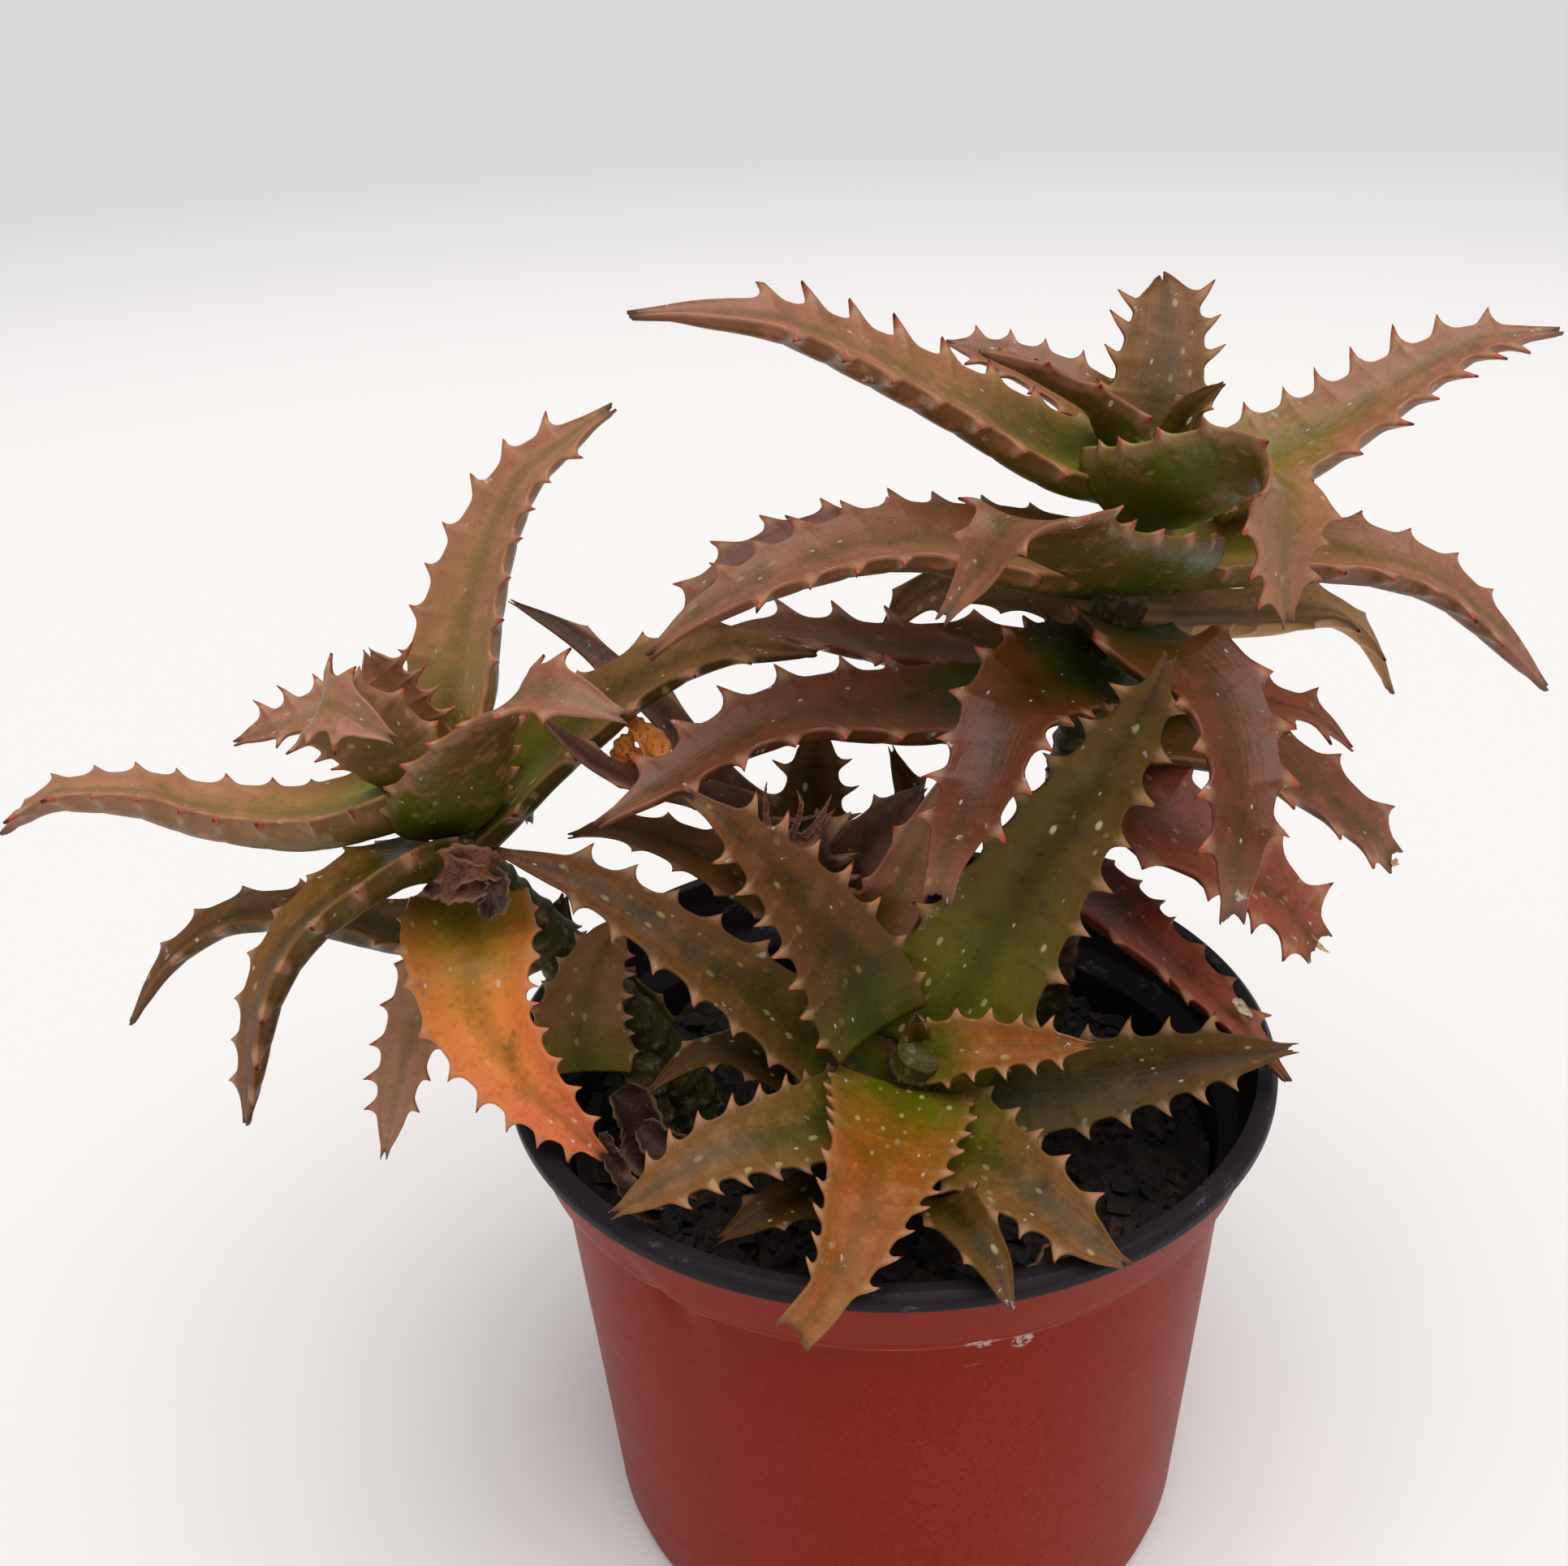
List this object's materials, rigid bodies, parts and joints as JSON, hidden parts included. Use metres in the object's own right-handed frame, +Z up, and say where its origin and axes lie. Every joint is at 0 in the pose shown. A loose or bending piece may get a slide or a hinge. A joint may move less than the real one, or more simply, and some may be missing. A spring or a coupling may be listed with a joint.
{
  "type": "potted plant",
  "caption": "Small spiny aloe with bronze, green and orange toothed leaves, growing in a round plastic nursery pot.",
  "frame": {"origin": "middle of the pot's base, on the surface it stands on", "axes": "+Z up along the pot's axis; the side that the picture was taken from faces -Y, and +X is to its right"},
  "size_m": [0.2303, 0.1321, 0.2026],
  "materials": {
    "pot_plastic": "satin",
    "potting_soil": "rough, matt",
    "stem_skin": "matt",
    "leaf_bronze": "satin, waxy",
    "leaf_olive": "satin, waxy",
    "leaf_green": "satin, waxy",
    "leaf_orange": "satin, waxy",
    "leaf_red": "satin, waxy",
    "leaf_dry": "matt, papery"
  },
  "bodies": {
    "root": {"pot": "pot_plastic", "soil": "potting_soil", "crown_stem": "stem_skin", "left_stem": "stem_skin", "front_stem": "stem_skin", "back_stem": "stem_skin", "side_stem": "stem_skin", "crown_leaf_04": "leaf_olive", "crown_leaf_03": "leaf_bronze", "crown_leaf_07": "leaf_bronze", "crown_leaf_01": "leaf_bronze", "crown_leaf_02": "leaf_bronze", "crown_leaf_06": "leaf_bronze", "crown_leaf_08": "leaf_bronze", "crown_leaf_09": "leaf_bronze", "crown_leaf_11": "leaf_bronze", "crown_leaf_10": "leaf_bronze", "crown_leaf_18": "leaf_olive", "crown_leaf_13": "leaf_bronze", "crown_leaf_12": "leaf_green", "crown_leaf_14": "leaf_bronze", "crown_leaf_17": "leaf_green", "crown_leaf_15": "leaf_bronze", "crown_leaf_16": "leaf_bronze", "middle_leaf_14": "leaf_red", "middle_leaf_13": "leaf_bronze", "middle_leaf_12": "leaf_red", "middle_leaf_11": "leaf_red", "front_leaf_04": "leaf_orange", "front_leaf_02": "leaf_bronze", "front_leaf_03": "leaf_green", "front_leaf_06": "leaf_orange", "front_leaf_01": "leaf_olive", "front_leaf_08": "leaf_olive", "front_leaf_07": "leaf_bronze", "front_leaf_10": "leaf_green", "front_leaf_09": "leaf_green", "pot_leaf_21": "leaf_green", "back_leaf_01": "leaf_green", "back_leaf_02": "leaf_green", "dry_leaf_16": "leaf_dry", "middle_leaf_18": "leaf_dry", "middle_leaf_17": "leaf_bronze", "pot_leaf_22": "leaf_olive", "left_leaf_05": "leaf_bronze", "left_leaf_01": "leaf_bronze", "left_leaf_04": "leaf_bronze", "left_leaf_07": "leaf_bronze", "left_leaf_03": "leaf_bronze", "left_leaf_02": "leaf_bronze", "left_leaf_06": "leaf_olive", "left_leaf_10": "leaf_bronze", "left_leaf_15": "leaf_olive", "left_leaf_14": "leaf_orange", "left_leaf_11": "leaf_bronze", "left_leaf_13": "leaf_bronze", "left_leaf_08": "leaf_dry", "left_leaf_09": "leaf_dry", "pot_leaf_19": "leaf_olive", "pot_leaf_23": "leaf_green"}
  },
  "joints": []
}
